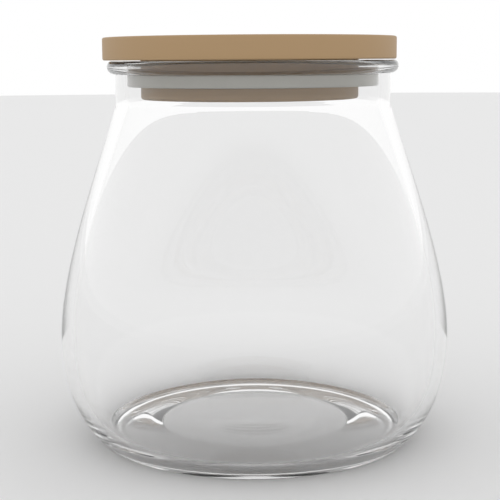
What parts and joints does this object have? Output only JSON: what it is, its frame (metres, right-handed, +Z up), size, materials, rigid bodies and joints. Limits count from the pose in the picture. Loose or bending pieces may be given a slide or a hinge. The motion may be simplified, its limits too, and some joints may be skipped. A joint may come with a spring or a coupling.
{
  "type": "glass storage jar with bamboo lid",
  "caption": "Pear-shaped clear glass storage jar with a rolled rim, closed by a round bamboo lid whose plug carries a silicone sealing ring. Empty.",
  "frame": {"origin": "centre of the jar's foot ring, on the surface it stands on", "axes": "+Z up along the glass's axis; -Y towards the viewer of the picture; the lid lies 1.25 mm off the axis towards -X"},
  "size_m": [0.13, 0.13, 0.1328],
  "materials": {
    "clear_glass": "smooth pressed glass, faintly green where it is thick",
    "bamboo": "sanded bamboo, bundle ends showing as dark dots round the edge",
    "silicone": "milky translucent silicone"
  },
  "bodies": {
    "root": {"glass_jar": "clear_glass", "bamboo_lid": "bamboo", "seal_ring": "silicone"}
  },
  "joints": []
}
